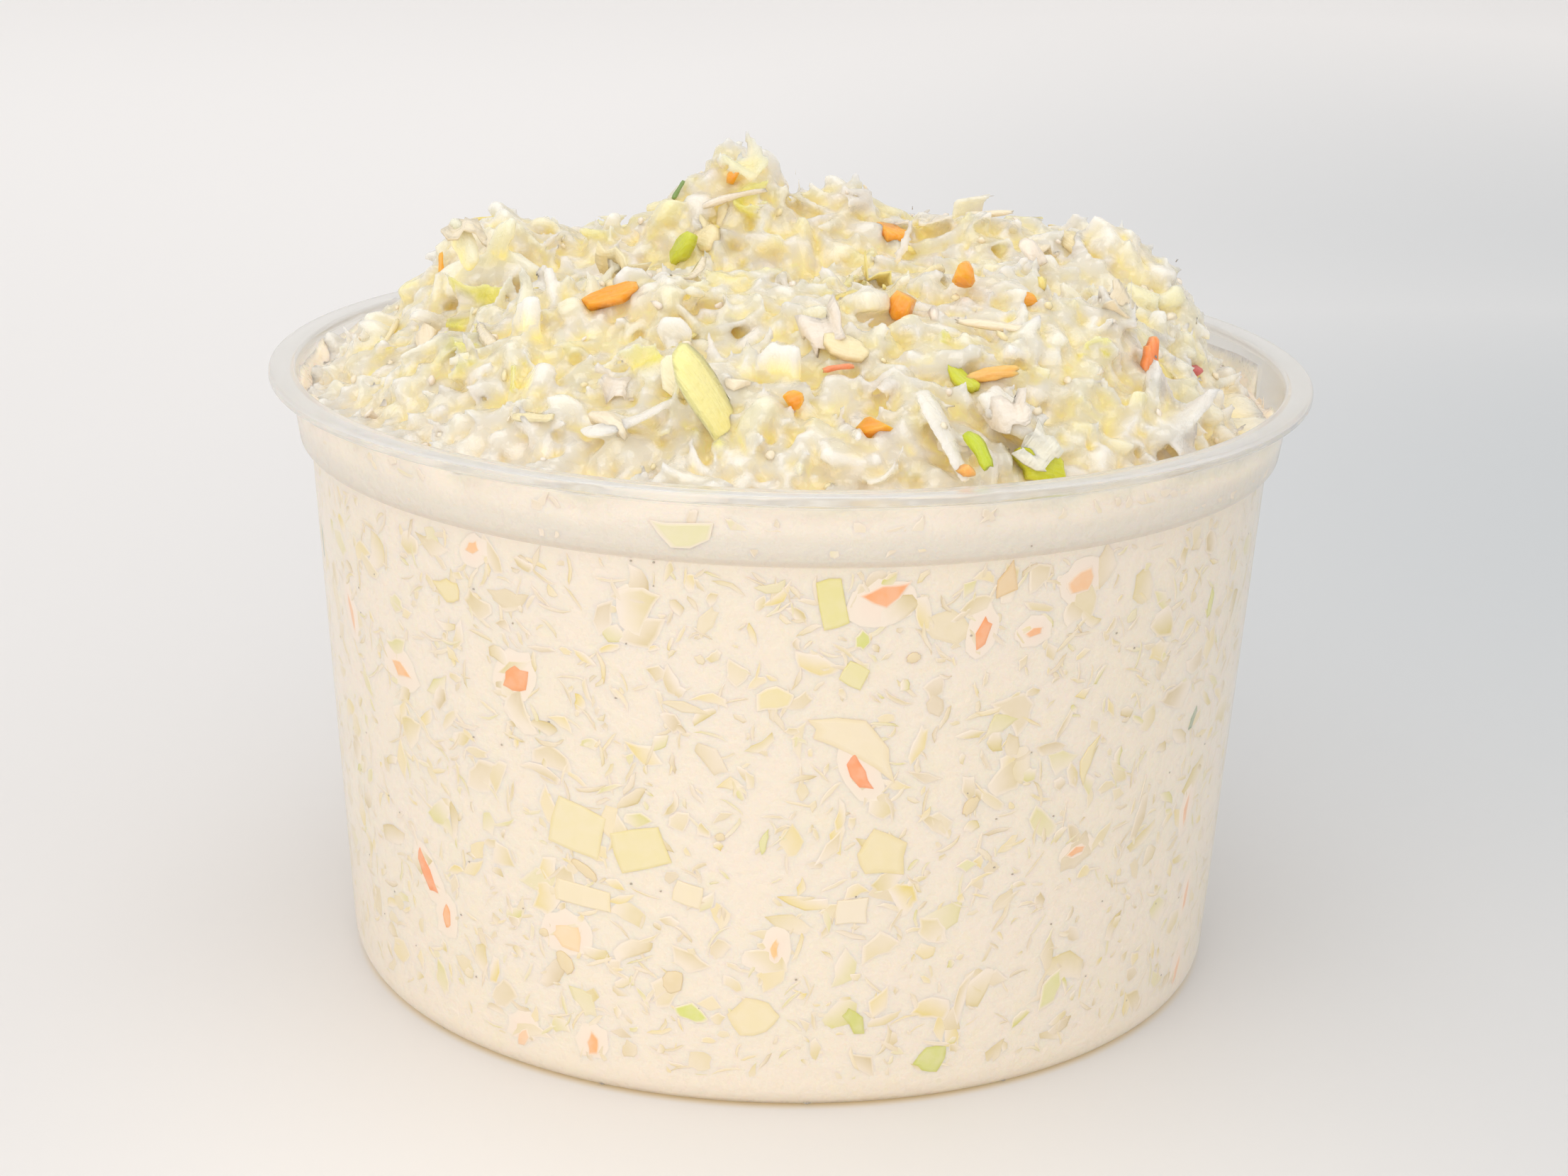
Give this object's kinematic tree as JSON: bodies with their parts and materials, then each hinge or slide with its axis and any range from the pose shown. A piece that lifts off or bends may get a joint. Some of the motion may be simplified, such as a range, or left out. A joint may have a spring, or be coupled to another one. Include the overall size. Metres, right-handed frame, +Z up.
{
  "type": "tub of coleslaw",
  "caption": "Round clear plastic deli cup with a flat rim, filled with finely chopped creamy coleslaw that stands up above the rim in a tall rough heap.",
  "frame": {"origin": "centre of the cup's foot, on the surface that it stands on", "axes": "+Z up, out of the mouth of the cup; +Y to the back, so that the front view looks along +Y; the cup is the same all round and the heap leans to the front left"},
  "size_m": [0.117, 0.117, 0.096],
  "materials": {
    "clear_plastic": "clear, slightly milky moulded polypropylene with a soft gloss",
    "coleslaw": "wet chopped cabbage and carrot in a thin white dressing"
  },
  "bodies": {
    "root": {"cup": "clear_plastic", "coleslaw": "coleslaw"}
  },
  "joints": []
}
